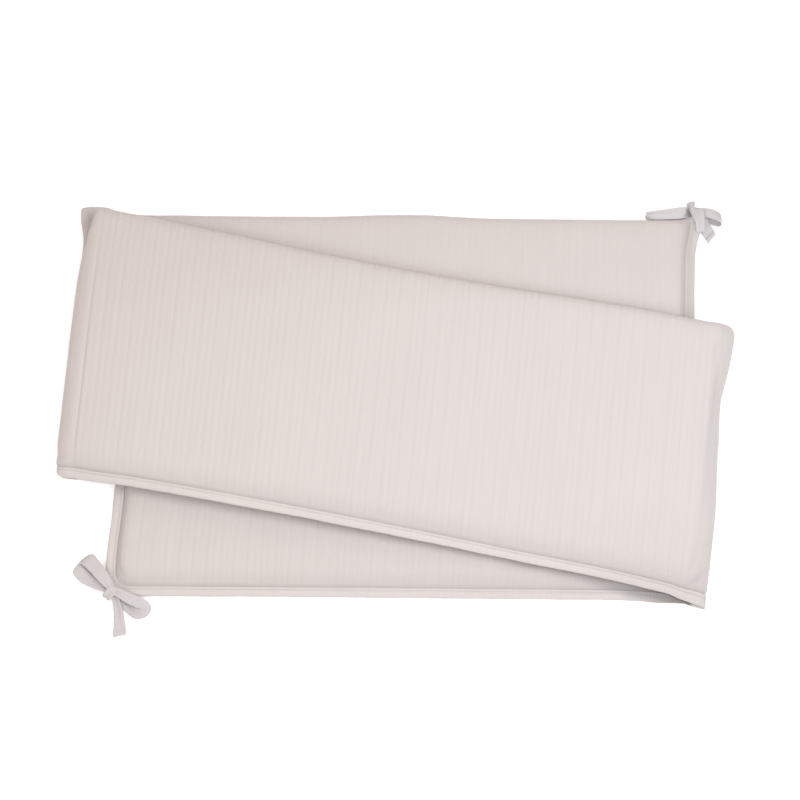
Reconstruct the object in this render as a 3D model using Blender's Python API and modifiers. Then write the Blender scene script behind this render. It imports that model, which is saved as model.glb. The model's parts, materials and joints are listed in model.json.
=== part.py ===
"""Crib bumper: a long padded band of ribbed cotton, folded in three, with two tied bows.

The band lies on a table (z = 0).  Its lower panel is flat on the table, the upper panel lies on
that, and the middle of the band is the top panel, which slants across both:

    end B ---- upper panel ---- left fold ---- top panel ---- right fold ---- lower panel ---- end A

The band is one sheet, placed through its folds, and given the thickness of its filling.  Its hem
and both of its ends are a flat, topstitched flange, and its top edge is the plain fold of the cloth.
Every length is in metres.
"""

import math

import bmesh
import bpy
from mathutils import Matrix, Vector

MM = 0.001

# ---- the band as it is sewn ----------------------------------------------------------------------
BAND_WIDTH = 0.270
PAD_THICK = 0.018
FLANGE_WIDTH = 0.0095
FLANGE_THICK = 0.0026
SEAM_HEIGHT = 0.0065          # of the flange and the top edge, over the panel's underside
HEM_CORNER = 0.024            # radius of the two flanged corners
TOP_CORNER = 0.006            # radius of the two corners on the plain edge
# The rise of the filling from a closed edge to its full thickness: how far in, and its two powers.
HEM_SWELL = (0.026, 2.2, 0.75)
END_SWELL = (0.016, 2.2, 0.60)
TOP_SWELL = (0.020, 2.6, 0.50)
RIB_SPACING = 0.0138          # every second rib of the cloth is raised
RIB_RISE = 0.00025

# ---- how it is folded ----------------------------------------------------------------------------
LAYER_GAP = 0.002
STEP = PAD_THICK + 2 * RIB_RISE + LAYER_GAP
DROP_LENGTH = 0.150           # a panel sags by one step over this length past an edge below it
FOLD_STEPS = 7
FOLD_FILL = 1.5               # thickness left at the turn of a fold, in radii of its tightest bend

# Lines across the band, seen from above: the point at the hem and the point at the top edge.
# A fold's line is where its curve begins, and its reach is how far the sheet bulges past that.
CROSS_LINES = {
    #             hem x     hem y     top x     top y    reach at hem, at top edge
    "end_b":      (0.2955, -0.0640,   0.3035,  0.2050,   0.0,    0.0),
    "left_fold":  (-0.3186, -0.0600, -0.2916,  0.2130,   0.0150, 0.0130),
    "right_fold": (0.2880, -0.1795,   0.3130,  0.0975,   0.0120, 0.0180),
    "end_a":      (-0.2900, -0.1745, -0.2750,  0.0965,   0.0,    0.0),
}
PANELS = {
    # name: (line where it starts, line where it ends), along the band
    "upper": ("end_b", "left_fold"),
    "top":   ("left_fold", "right_fold"),
    "lower": ("right_fold", "end_a"),
}
# Soft bulges (+) and pinches (-) of the folds: place across the band (0 hem, 1 top edge),
# half length across, and how far out.
FOLD_BULGES = {
    "left_fold":  ((1.00, 0.15, 0.0090), (0.84, 0.12, -0.0016), (0.55, 0.40, 0.0010),
                   (0.075, 0.050, -0.0018), (0.042, 0.026, 0.0036), (0.012, 0.030, 0.0020),
                   (0.00, 0.018, -0.0045)),
    "right_fold": ((0.72, 0.16, -0.0047), (0.55, 0.28, -0.0040), (0.00, 0.14, 0.0086),
                   (1.00, 0.16, 0.0024), (1.00, 0.05, -0.0024)),
}
# How far the hem of a fold droops past its panels, and over what share of the band's width.
FOLD_DROOPS = {"left_fold": (0.0, 1.0), "right_fold": (0.0050, 0.07)}
# Places where the cloth is pulled out of its straight lines: panel, place along it and across it,
# half length of the pull along it and across it (all as shares), and how far along x and y.
PULLS = (
    ("top",   0.52, 1.0,  0.52, 0.90,  0.0000, -0.0067),
    ("top",   0.00, 1.0,  0.02, 0.06,  0.0000,  0.0016),
    ("top",   1.00, 1.0,  0.10, 0.12,  0.0000, -0.0017),
    ("top",   0.50, 0.0,  0.80, 0.35,  0.0000,  0.0052),
    ("top",   1.00, 0.0,  0.03, 0.07,  0.0000, -0.0030),
    ("top",   0.90, 0.0,  0.20, 0.35,  0.0000,  0.0024),
    ("top",   0.02, 0.0,  0.09, 0.12,  0.0000, -0.0018),
    ("upper", 0.48, 1.0,  0.16, 0.90,  0.0000,  0.0030),
    ("upper", 0.78, 1.0,  0.20, 0.90,  0.0000, -0.0013),
    ("upper", 0.00, 1.0,  0.05, 0.16,  0.0075,  0.0030),
    ("upper", 0.93, 1.0,  0.07, 0.50,  0.0000, -0.0016),
    ("upper", 0.40, 1.0,  0.50, 0.90,  0.0000, -0.0004),
    ("lower", 0.00, 0.0,  0.12, 0.40,  0.0000, -0.0030),
    ("lower", 0.95, 0.40, 0.30, 0.27,  0.0036,  0.0000),
    ("lower", 0.50, 0.0,  0.75, 0.30,  0.0000,  0.0005),
)
# Where the hem hangs down: panel, place along it, half length, how far in from the edge, depth there.
HEM_DROOPS = (
    ("top", 0.0, 0.28, 0.014, 0.0075),
    ("top", 0.5, 0.60, 0.014, 0.0008),
    ("top", 1.0, 0.35, 0.060, 0.0080),
    ("top", 1.0, 0.24, 0.018, 0.0095),
)
# Troughs in the top panel, seen from above: from x, y to x, y, half width, depth.
TROUGHS = (
    (0.3200, 0.0560,   0.2960, -0.1300, 0.010, 0.0020),
    (0.2830, -0.1650,  0.3000, -0.1480, 0.009, 0.0020),
)
# The middle of the folded band and its ties, seen from above: it stands on the origin.
PLAN_MIDDLE = (0.0015, 0.0054)

# ---- rows across the band and columns along it ---------------------------------------------------
ROWS_FROM_HEM = (0.0, FLANGE_WIDTH, 0.019, 0.038, 0.085, 0.137, 0.189)
ROWS_FROM_TOP = (0.042, 0.013, 0.0)
END_INSETS = (0.0, FLANGE_WIDTH, 0.015, 0.024)

# ---- the ties ------------------------------------------------------------------------------------
TAPE_THICK = 0.0014
# Each strip of tape: stations along it as x, y from the knot and z over the table, in mm, then the
# turn of the tape's width seen from above and its lean out of level, in degrees, and its width in mm.
LOWER_LEFT_KNOT = (-0.2815, -0.1690, 0.0121)
UPPER_RIGHT_KNOT = (0.3065, 0.2142, 0.0100)
KNOT_SIZE = (0.0125, 0.0105, 0.0080)

LOWER_LEFT_STRIPS = {
    "upper_loop": (
        (0.5, 0.5, 14.2, 46, 0, 7),
        (-5.0, 8.0, 15.6, 46, 0, 10.5),
        (-12.3, 17.0, 14.8, 46, 0, 13.5),
        (-19.3, 25.2, 12.0, 45, 0, 14),
        (-24.8, 30.8, 10.0, 42, 0, 14.5),
        (-30.2, 29.6, 6.6, 44, 0, 14),
        (-36.6, 23.2, 5.6, 54, -14, 13),
        (-31.5, 15.0, 6.8, 61, -20, 12.5),
        (-21.5, 8.6, 7.6, 62, -20, 11.5),
        (-10.0, 3.4, 8.8, 60, -4, 9.5),
        (0.5, -0.5, 10.4, 56, 0, 7),
    ),
    "lower_loop": (
        (-0.5, 0.5, 14.0, 72, 0, 7),
        (8.0, -4.0, 14.0, 72, 0, 9),
        (17.0, -8.6, 12.5, 66, 0, 10.5),
        (26.2, -12.6, 9.5, 58, -4, 11.5),
        (33.2, -17.4, 7.5, 10, -24, 12),
        (29.8, -22.6, 5.6, -50, -32, 11.5),
        (22.9, -23.2, 4.8, -100, -34, 11.5),
        (16.8, -18.4, 4.8, -128, -36, 11.5),
        (10.9, -12.4, 5.8, -136, -34, 11),
        (4.9, -6.6, 8.0, -138, -24, 9),
        (-0.5, 0.0, 10.2, -140, 0, 7),
    ),
    "tail": (
        (0.0, 0.0, 12.0, 0, 0, 7),
        (3.2, -8.5, 9.5, 2, 0, 7),
        (5.4, -18.0, 5.0, 4, 0, 8.5),
        (6.3, -28.0, 2.2, 5, 0, 10.5),
        (6.8, -37.0, 1.2, 8, 0, 12.5),
        (6.6, -45.5, 1.1, 12, 0, 14),
    ),
    "wrap": (
        (3.0, 4.0, 12.6, -37, 0, 8),
        (-1.0, -2.0, 15.0, -37, 0, 9.5),
        (-5.2, -6.6, 13.0, -37, 0, 9),
        (-5.9, -7.4, 9.6, -37, 0, 8),
    ),
}
UPPER_RIGHT_STRIPS = {
    "left_loop": (
        (0.5, 0.2, 9.8, 84, 0, 6.5),
        (-5.5, -0.2, 9.2, 84, 14, 8.5),
        (-12.0, -0.8, 13.0, 85, 10, 11),
        (-20.0, -2.0, 15.4, 86, 6, 11.8),
        (-29.5, -3.0, 15.8, 88, 4, 10.6),
        (-40.5, -3.8, 15.2, 90, 4, 9.2),
        (-47.0, -3.9, 13.6, 92, 6, 8.2),
        (-51.0, -3.9, 10.0, 94, 12, 7.6),
        (-51.0, -4.2, 6.6, 94, 20, 8.0),
        (-47.0, -5.4, 4.2, 92, 24, 10),
        (-40.5, -5.6, 4.4, 90, 26, 11),
        (-29.5, -4.2, 4.4, 88, 26, 10.5),
        (-17.5, -2.0, 4.8, 86, 24, 9.5),
        (-7.0, -0.2, 6.4, 84, 16, 8),
        (0.5, 0.0, 7.8, 84, 0, 6.5),
    ),
    "right_loop": (
        (-0.5, 0.0, 10.6, -88, 0, 6.5),
        (6.5, -0.3, 11.4, -86, 8, 9),
        (14.5, -2.0, 12.0, -80, 16, 12),
        (21.6, -4.6, 10.5, -82, 22, 12.5),
        (24.2, -6.8, 7.0, -88, 26, 12.5),
        (21.2, -8.8, 4.0, -84, 22, 12),
        (13.5, -6.2, 3.2, -80, 12, 11),
        (6.5, -2.5, 5.4, -84, 6, 9),
        (-0.5, 0.0, 7.4, -88, 0, 6.5),
    ),
    "tail": (
        (0.5, 0.0, 9.0, 40, 0, 7),
        (5.2, -8.0, 7.0, 40, 0, 10),
        (8.8, -15.2, 4.0, 42, 0, 12.5),
        (12.2, -20.4, 2.0, 46, 0, 12.5),
        (15.4, -26.0, 1.3, 48, 0, 12.5),
    ),
    "standing_end": (
        (-1.6, -10.5, 15.8, 30, 24, 3),
        (-3.2, -7.0, 16.8, 28, 24, 4),
        (-5.0, -1.8, 17.0, 24, 30, 5),
        (-6.4, 3.6, 15.4, 18, 40, 7),
        (-6.9, 7.4, 12.6, 12, 42, 9.5),
        (-6.6, 10.6, 10.0, 8, 40, 10),
    ),
    "sewn_end": (
        (0.8, 3.6, 13.8, 0, 0, 8),
        (1.3, -1.0, 15.6, 0, 0, 9.5),
        (1.7, -7.0, 16.2, 2, 0, 9.5),
        (2.0, -14.5, 16.4, 4, 0, 9),
        (2.4, -21.6, 16.2, 4, 0, 8.5),
    ),
}

# ---- colours (linear) ----------------------------------------------------------------------------
CLOTH_COLOUR = (0.716, 0.640, 0.597, 1.0)
TAPE_COLOUR = (0.700, 0.640, 0.610, 1.0)
CLOTH_ROUGHNESS = 0.92


# ---- small helpers -------------------------------------------------------------------------------
def clear_scene():
    for thing in list(bpy.data.objects):
        bpy.data.objects.remove(thing, do_unlink=True)


def new_collection(name):
    collection = bpy.data.collections.new(name)
    bpy.context.scene.collection.children.link(collection)
    return collection


def cloth_material(name, colour):
    material = bpy.data.materials.new(name)
    material.use_nodes = True
    shader = material.node_tree.nodes["Principled BSDF"]
    shader.inputs["Base Color"].default_value = colour
    shader.inputs["Roughness"].default_value = CLOTH_ROUGHNESS
    shader.inputs["Metallic"].default_value = 0.0
    return material


def ease(x):
    """0 to 1 along a half wave, flat at both ends."""
    x = min(max(x, 0.0), 1.0)
    return 0.5 - 0.5 * math.cos(math.pi * x)


def bump(distance, half_length):
    """1 at the middle, easing to 0 half a length away."""
    return 1.0 - ease(abs(distance) / half_length)


# ---- the folded sheet ----------------------------------------------------------------------------
def cross_point(line, across):
    """The plan point of a fold's or end's line, across = 0 at the hem and 1 at the top edge."""
    hem_x, hem_y, top_x, top_y = CROSS_LINES[line][:4]
    return Vector((hem_x, hem_y)).lerp(Vector((top_x, top_y)), across)


def beyond(point, start, end):
    """How far a plan point is to the left of the way from start to end."""
    way = (end - start).normalized()
    return way.x * (point.y - start.y) - way.y * (point.x - start.x)


def support(distance):
    """1 over the layer below, falling to 0 a drop length past its edge."""
    return 1.0 - ease(distance / DROP_LENGTH)


def underside(panel, point):
    """Height of a panel's underside: it lies on the panels that are below it there."""
    if panel == "lower":
        return 0.0
    past_end_a = beyond(point, cross_point("end_a", 0), cross_point("end_a", 1))
    past_lower_top = beyond(point, cross_point("right_fold", 1), cross_point("end_a", 1))
    height = STEP * support(past_end_a) * support(-past_lower_top)
    if panel == "top":
        past_end_b = beyond(point, cross_point("end_b", 1), cross_point("end_b", 0))
        past_upper_hem = beyond(point, cross_point("end_b", 0), cross_point("left_fold", 0))
        height += STEP * support(past_end_b) * support(past_upper_hem)
    return height


def swell(distance, rise):
    """Share of the full thickness at this distance inside a closed edge."""
    reach, flatness, steepness = rise
    if distance >= reach:
        return 1.0
    return (1.0 - (1.0 - max(distance, 0.0) / reach) ** flatness) ** steepness


def trough_depth(panel, point):
    """How far the top panel's skin is drawn down at a plan point."""
    if panel != "top":
        return 0.0
    depth = 0.0
    for x0, y0, x1, y1, half_width, full_depth in TROUGHS:
        start, end = Vector((x0, y0)), Vector((x1, y1))
        way = end - start
        share = min(max((point - start).dot(way) / way.length_squared, 0.0), 1.0)
        depth = max(depth, full_depth * bump((point - start - way * share).length, half_width))
    return depth


def filling(from_hem, from_top, from_end):
    """Thickness of the padded band at these distances inside its edges."""
    share = swell(from_hem - FLANGE_WIDTH, HEM_SWELL) * swell(from_end - FLANGE_WIDTH, END_SWELL)
    return max(FLANGE_THICK, PAD_THICK * share * swell(from_top, TOP_SWELL))


def round_corner(from_end, from_edge, radius):
    """Moves a point near a square corner onto the round corner at the same distance inside."""
    inside = min(from_end, from_edge)
    inner_radius = radius - inside
    along = max(from_end, from_edge) - inside
    if inner_radius <= 0.0 or along >= inner_radius:
        return from_end, from_edge
    angle = math.radians(45.0) * (1.0 - along / inner_radius)
    near = radius - inner_radius * math.cos(angle)
    far = radius - inner_radius * math.sin(angle)
    return (near, far) if from_end <= from_edge else (far, near)


def panel_point(panel, share, from_hem):
    """A plan point of a panel: share is 0 at its first line and 1 at its last."""
    across = from_hem / BAND_WIDTH
    first, last = PANELS[panel]
    point = cross_point(first, across).lerp(cross_point(last, across), share)
    for pulled, along, aside, half_along, half_aside, by_x, by_y in PULLS:
        if pulled == panel:
            pull = bump(share - along, half_along) * bump(across - aside, half_aside)
            point += pull * Vector((by_x, by_y))
    return point


def panel_length(panel):
    first, last = PANELS[panel]
    return (cross_point(last, 0.5) - cross_point(first, 0.5)).length


def panel_columns(panel):
    """Columns along a panel: (share, distance from its free end or None, is a rib)."""
    length = panel_length(panel)
    insets = (0.0,) if panel == "top" else END_INSETS
    ribbed_length = length - max(insets)
    spaces = 2 * round(ribbed_length / RIB_SPACING)
    first = max(insets) if panel == "upper" else 0.0
    ribbed = [((first + ribbed_length * index / spaces) / length, None, index % 2 == 1)
              for index in range(spaces + 1)]
    if panel == "upper":
        return [(inset / length, inset, False) for inset in insets[:-1]] + ribbed
    return ribbed + [(1.0 - inset / length, inset, False) for inset in reversed(insets[:-1])]


def droop(panel, share, from_hem):
    """How far a panel hangs down near its hem."""
    return sum(depth * bump(share - along, half_along) * max(0.0, 1.0 - from_hem / width)
               for drooping, along, half_along, width, depth in HEM_DROOPS if drooping == panel)


def rows():
    return ROWS_FROM_HEM + tuple(BAND_WIDTH - inset for inset in ROWS_FROM_TOP)


def sheet_on_panel(panel, share, end_inset, is_rib, from_hem):
    """The sheet's point on a panel, and its thickness there."""
    from_top = BAND_WIDTH - from_hem
    from_end = BAND_WIDTH if end_inset is None else end_inset
    thickness = filling(from_hem, from_top, from_end)
    if is_rib:
        thickness += 2 * RIB_RISE * thickness / PAD_THICK
    if end_inset is not None:
        inset, edge = round_corner(end_inset, from_hem, HEM_CORNER)
        from_hem = edge
        if from_top < TOP_CORNER:
            inset, edge = round_corner(end_inset, from_top, TOP_CORNER)
            from_hem = BAND_WIDTH - edge
        moved = (inset - end_inset) / panel_length(panel)
        share += moved if panel == "upper" else -moved
    plan = panel_point(panel, share, from_hem)
    thickness -= min(trough_depth(panel, plan), 0.5 * thickness)
    height = underside(panel, plan) + max(0.5 * thickness, SEAM_HEIGHT) - droop(panel, share, from_hem)
    return Vector((plan.x, plan.y, height)), thickness


def sheet_in_fold(fold, angle, from_hem):
    """The sheet's point in a fold; the angle runs from 90 degrees on the upper side to -90."""
    across = from_hem / BAND_WIDTH
    high_share, low_panel, low_share = (0.0, "upper", 1.0) if fold == "left_fold" else (1.0, "lower", 0.0)
    high, thickness = sheet_on_panel("top", high_share, None, False, from_hem)
    low, _thickness = sheet_on_panel(low_panel, low_share, None, False, from_hem)
    hem, top = cross_point(fold, 0), cross_point(fold, 1)
    way = (top - hem).normalized()
    outward = Vector((-way.y, way.x)) if fold == "left_fold" else Vector((way.y, -way.x))
    reach_hem, reach_top = CROSS_LINES[fold][4:]
    reach = reach_hem + (reach_top - reach_hem) * across
    for middle, half_length, out in FOLD_BULGES[fold]:
        reach += out * bump(across - middle, half_length)
    lift = 0.5 + 0.5 * math.sin(angle)
    plan = low.xy.lerp(high.xy, lift) + outward * reach * math.cos(angle)
    furthest, width = FOLD_DROOPS[fold]
    plan -= way * furthest * bump(across, width) * math.cos(angle)
    height = low.z + (high.z - low.z) * lift
    tightest_bend = (0.5 * (high.z - low.z)) ** 2 / reach
    pressed = max(0.0, thickness - FOLD_FILL * tightest_bend) * math.cos(angle) ** 2
    return Vector((plan.x, plan.y, height)), thickness - pressed


def fold_columns(fold):
    """Angles inside a fold, in order along the band from end B to end A."""
    angles = [math.radians(90.0 - 180.0 * index / FOLD_STEPS) for index in range(1, FOLD_STEPS)]
    return angles[::-1] if fold == "left_fold" else angles


def band_stations():
    """For each column along the band, the points and thicknesses across it."""
    stations = []
    for panel, fold in (("upper", "left_fold"), ("top", "right_fold"), ("lower", None)):
        for share, end_inset, is_rib in panel_columns(panel):
            stations.append([sheet_on_panel(panel, share, end_inset, is_rib, row) for row in rows()])
        if fold:
            for angle in fold_columns(fold):
                stations.append([sheet_in_fold(fold, angle, row) for row in rows()])
    return stations


def add_sheet(name, stations, full_thickness, collection, material):
    """A grid of one column for each station, given its thickness by Solidify."""
    sheet = bmesh.new()
    bmesh.ops.create_grid(sheet, x_segments=len(stations[0]) - 1, y_segments=len(stations) - 1, size=1.0)
    weights = sheet.verts.layers.deform.verify()
    in_order = sorted(sheet.verts, key=lambda vert: (round(vert.co.y, 6), round(vert.co.x, 6)))
    placed = [cell for station in stations for cell in station]
    for vert, (point, thickness) in zip(in_order, placed):
        vert[weights][0] = thickness / full_thickness
        vert.co = point
    mesh = bpy.data.meshes.new(name)
    sheet.to_mesh(mesh)
    sheet.free()
    piece = bpy.data.objects.new(name, mesh)
    piece.vertex_groups.new(name="thickness")
    collection.objects.link(piece)
    mesh.materials.append(material)
    return piece


def solidify(piece, thickness, by_weight):
    shell = piece.modifiers.new("Thickness", 'SOLIDIFY')
    shell.thickness = thickness
    shell.offset = 0.0
    if by_weight:
        shell.vertex_group = "thickness"


def add_pad(collection, material):
    full_thickness = PAD_THICK + 2 * RIB_RISE
    pad = add_sheet("pad", band_stations(), full_thickness, collection, material)
    solidify(pad, full_thickness, by_weight=True)
    pad.parent = bpy.data.objects["crib_bumper_origin"]
    return pad


# ---- the ties ------------------------------------------------------------------------------------
def strip_stations(knot, rows_of_strip):
    """Each station is the two edges of the tape."""
    stations = []
    for x, y, z, turn, lean, width in rows_of_strip:
        middle = Vector((knot[0] + x * MM, knot[1] + y * MM, z * MM))
        turn, lean = math.radians(turn), math.radians(lean)
        side = Vector((math.cos(turn) * math.cos(lean), math.sin(turn) * math.cos(lean), math.sin(lean)))
        side *= 0.5 * width * MM
        stations.append([(middle - side, TAPE_THICK), (middle + side, TAPE_THICK)])
    return stations


def add_strip(name, knot, rows_of_strip, collection, material):
    strip = add_sheet(name, strip_stations(knot, rows_of_strip), TAPE_THICK, collection, material)
    smooth = strip.modifiers.new("Soft curve", 'SUBSURF')
    smooth.levels = 1
    smooth.render_levels = 1
    solidify(strip, TAPE_THICK, by_weight=False)
    strip.parent = bpy.data.objects["crib_bumper_origin"]
    strip.hide_render = True
    strip.display_type = 'WIRE'
    return strip


def add_tie(name, knot, strips, collection, cutters, material):
    """A knot, with the loops and ends of its tape joined on."""
    bpy.ops.mesh.primitive_uv_sphere_add(segments=14, ring_count=9, radius=0.5)
    tie = bpy.context.active_object
    tie.name = name
    tie.data.transform(Matrix.Diagonal((*KNOT_SIZE, 1.0)))
    tie.location = knot
    for collection_of_tie in list(tie.users_collection):
        collection_of_tie.objects.unlink(tie)
    collection.objects.link(tie)
    tie.data.materials.append(material)
    tie.data.shade_smooth()
    tie.parent = bpy.data.objects["crib_bumper_origin"]
    for strip_name, rows_of_strip in strips.items():
        strip = add_strip(name + "_" + strip_name, knot, rows_of_strip, cutters, material)
        join = tie.modifiers.new("Join " + strip_name, 'BOOLEAN')
        join.operation = 'UNION'
        join.solver = 'MANIFOLD'
        join.object = strip
    return tie


def main():
    clear_scene()
    parts = new_collection("crib_bumper")
    cutters = new_collection("tie_strips")
    origin = bpy.data.objects.new("crib_bumper_origin", None)
    origin.location = (-PLAN_MIDDLE[0], -PLAN_MIDDLE[1], 0.0)
    parts.objects.link(origin)
    cloth = cloth_material("ribbed_cotton", CLOTH_COLOUR)
    tape = cloth_material("cotton_tape", TAPE_COLOUR)
    add_pad(parts, cloth)
    add_tie("tie_lower_left", LOWER_LEFT_KNOT, LOWER_LEFT_STRIPS, parts, cutters, tape)
    add_tie("tie_upper_right", UPPER_RIGHT_KNOT, UPPER_RIGHT_STRIPS, parts, cutters, tape)


main()
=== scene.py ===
"""Folded crib bumper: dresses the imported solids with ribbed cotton, topstitching and tape bows.

The padded band is one fine sheet on the same lines as its solid, with its filling, ribs and hollows.
Lengths are in metres.
"""

import json
import math
from bisect import bisect_left
from itertools import accumulate

import bmesh
import bpy
from mathutils import Matrix, Vector, noise

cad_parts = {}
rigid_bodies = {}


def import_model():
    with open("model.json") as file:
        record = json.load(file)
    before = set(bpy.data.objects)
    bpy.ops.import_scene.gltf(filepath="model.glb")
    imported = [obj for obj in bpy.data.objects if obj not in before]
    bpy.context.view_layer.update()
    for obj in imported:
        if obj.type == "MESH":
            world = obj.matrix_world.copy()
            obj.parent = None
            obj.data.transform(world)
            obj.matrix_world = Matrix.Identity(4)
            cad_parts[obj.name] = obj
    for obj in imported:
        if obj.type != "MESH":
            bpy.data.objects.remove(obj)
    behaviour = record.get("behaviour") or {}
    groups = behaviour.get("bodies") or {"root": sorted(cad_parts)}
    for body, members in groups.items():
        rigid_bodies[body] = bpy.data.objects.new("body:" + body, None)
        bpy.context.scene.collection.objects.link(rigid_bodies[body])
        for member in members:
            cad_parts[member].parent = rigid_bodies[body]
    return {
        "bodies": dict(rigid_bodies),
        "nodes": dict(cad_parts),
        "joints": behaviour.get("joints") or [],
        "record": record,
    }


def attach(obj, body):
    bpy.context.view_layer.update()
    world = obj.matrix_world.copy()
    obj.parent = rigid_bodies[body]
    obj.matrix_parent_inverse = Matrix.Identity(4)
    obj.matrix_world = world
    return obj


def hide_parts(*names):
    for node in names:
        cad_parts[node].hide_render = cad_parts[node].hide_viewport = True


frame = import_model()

bl_info = {
    "name": "Folded crib bumper",
    "version": (1, 0, 0),
    "blender": (4, 5, 0),
    "location": "View3D > Sidebar > Crib bumper",
    "description": "A ribbed cotton band folded in three, with two tape bows, on a pale floor",
    "category": "Object",
}

MM = 0.001

# ---- the band as it is sewn ----
BAND_WIDTH = 0.270
PAD_THICK = 0.018
# The flat edge outside the filling: distance in from the edge, thickness there.
FLANGE_PROFILE = ((0.0, 0.0014), (0.0009, 0.0025), (0.0026, 0.0031), (0.0048, 0.0030), (0.0062, 0.0025),
                  (0.0070, 0.0012), (0.0078, 0.0023), (0.0087, 0.0026), (0.0094, 0.0022),
                  (0.0100, 0.0012))
FLANGE_WIDTH = FLANGE_PROFILE[-1][0]
STITCHED_AT = 0.0070
SEAM_THICK = 0.0012
# Height of the middle of the flange and the top edge over the panel's underside.
SEAM_HEIGHT = 0.0065
# Radii of the corners at the free ends.
HEM_CORNER = 0.024
TOP_CORNER = 0.006
# The rise of the filling from a closed edge to full thickness: how far in, its two powers.
HEM_SWELL = (0.026, 2.2, 0.75)
END_SWELL = (0.016, 2.2, 0.60)
TOP_SWELL = (0.013, 2.6, 0.50)
TOP_EDGE_THICK = 0.0022

# ---- how it is folded ----
# Height from layer to layer, and the length over which a panel sags past the layer below.
STEP = 0.0205
DROP_LENGTH = 0.150
# Thickness left at the turn of a fold, in radii of its tightest bend.
FOLD_FILL = 1.5
CROSS_LINES = {
    #             hem x     hem y     top x     top y    reach at hem, at top edge
    "end_b":      (0.2955, -0.0640,   0.3035,  0.2050,   0.0,    0.0),
    "left_fold":  (-0.3186, -0.0600, -0.2916,  0.2130,   0.0150, 0.0130),
    "right_fold": (0.2880, -0.1795,   0.3130,  0.0975,   0.0120, 0.0180),
    "end_a":      (-0.2900, -0.1745, -0.2750,  0.0965,   0.0,    0.0),
}
PANELS = {
    # name: (line where it starts, line where it ends), along the band
    "upper": ("end_b", "left_fold"),
    "top":   ("left_fold", "right_fold"),
    "lower": ("right_fold", "end_a"),
}
FOLDS = {
    # name: (place along the top panel, panel below, place along that one, side it turns to)
    "left_fold":  (0.0, "upper", 1.0, 1.0),
    "right_fold": (1.0, "lower", 0.0, -1.0),
}
# Soft bulges (+) and pinches (-) of the folds: place across the band, half length, how far out.
FOLD_BULGES = {
    "left_fold":  ((1.00, 0.15, 0.0090), (0.84, 0.12, -0.0016), (0.55, 0.40, 0.0010),
                   (0.075, 0.050, -0.0018), (0.042, 0.034, 0.0030), (0.012, 0.030, 0.0020),
                   (0.00, 0.018, -0.0045)),
    "right_fold": ((0.72, 0.16, -0.0047), (0.55, 0.28, -0.0040), (0.00, 0.14, 0.0086),
                   (1.00, 0.16, 0.0024), (1.00, 0.05, -0.0024)),
}
# How far the hem of a fold droops past its panels, over what share of the band's width.
FOLD_DROOPS = {"left_fold": (0.0, 1.0), "right_fold": (0.0050, 0.07)}
# Pulls out of the straight lines: panel, place along and across it, half lengths along and across it,
# all in shares, and how far along x and y.
PULLS = (
    ("top",   0.52, 1.0,  0.52, 0.90,  0.0, -0.0067),
    ("top",   0.00, 1.0,  0.02, 0.06,  0.0,  0.0016),
    ("top",   1.00, 1.0,  0.10, 0.12,  0.0, -0.0017),
    ("top",   0.50, 0.0,  0.80, 0.35,  0.0,  0.0052),
    ("top",   1.00, 0.0,  0.03, 0.07,  0.0, -0.0030),
    ("top",   0.90, 0.0,  0.20, 0.35,  0.0,  0.0024),
    ("top",   0.02, 0.0,  0.09, 0.12,  0.0, -0.0018),
    ("upper", 0.48, 1.0,  0.16, 0.90,  0.0,  0.0030),
    ("upper", 0.78, 1.0,  0.20, 0.90,  0.0, -0.0013),
    ("upper", 0.00, 1.0,  0.05, 0.16,  0.0075,  0.0030),
    ("upper", 0.93, 1.0,  0.07, 0.50,  0.0, -0.0016),
    ("upper", 0.40, 1.0,  0.50, 0.90,  0.0, -0.0004),
    ("lower", 0.00, 0.0,  0.12, 0.40,  0.0, -0.0030),
    ("lower", 0.95, 0.40, 0.30, 0.27,  0.0036,  0.0),
    ("lower", 0.50, 0.0,  0.75, 0.30,  0.0,  0.0005),
)
# Where the hem hangs down: panel, place along it, half length, how far in, depth at the edge.
HEM_DROOPS = (
    ("top", 0.0, 0.28, 0.014, 0.0075),
    ("top", 0.5, 0.60, 0.014, 0.0008),
    ("top", 1.0, 0.35, 0.060, 0.0080),
    ("top", 1.0, 0.24, 0.018, 0.0095),
)
# Creases and hollows, and painted shade, seen from above: panel, from x, y to x, y, half width, depth, and
# how much darker the painted shade makes the cloth at the start and at the end. The upper panel's row is
# painted shade only;
# the lower panel's rows are the painted shadow under the top panel's hem, with almost no depth.
CREASES_AND_PAINTED_SHADE = (
    ("upper",  0.2984,  0.2000,  0.2951,  0.0800, 0.0080, 0.0000, 0.12, 0.12),
    ("top",    0.3189,  0.0680,  0.3189,  0.0310, 0.0045, 0.0014, 0.06, 0.07),
    ("top",    0.3189,  0.0310,  0.3125, -0.0200, 0.0045, 0.0016, 0.07, 0.07),
    ("top",    0.3125, -0.0200,  0.2985, -0.1270, 0.0065, 0.0011, 0.06, 0.05),
    ("top",    0.2880, -0.1690,  0.3040, -0.1565, 0.0050, 0.0020, 0.10, 0.10),
    ("top",    0.2930, -0.1500,  0.2990, -0.1300, 0.0060, 0.0012, 0.06, 0.06),
    ("top",   -0.3092,  0.2065, -0.3124,  0.1965, 0.0105, 0.0064, 0.34, 0.34),
    ("top",   -0.3124,  0.1965, -0.3154,  0.1780, 0.0072, 0.0046, 0.24, 0.24),
    ("top",   -0.0020, -0.0150, -0.0060, -0.0230, 0.0060, 0.0008, 0.04, 0.04),
    ("lower",  0.1048, -0.1389,  0.1845, -0.1549, 0.0100, 0.0004, 0.10, 0.26),
    ("lower",  0.1845, -0.1549,  0.2343, -0.1680, 0.0110, 0.0006, 0.26, 0.36),
    ("lower",  0.2343, -0.1680,  0.2939, -0.1835, 0.0150, 0.0006, 0.36, 0.68),
)
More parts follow.
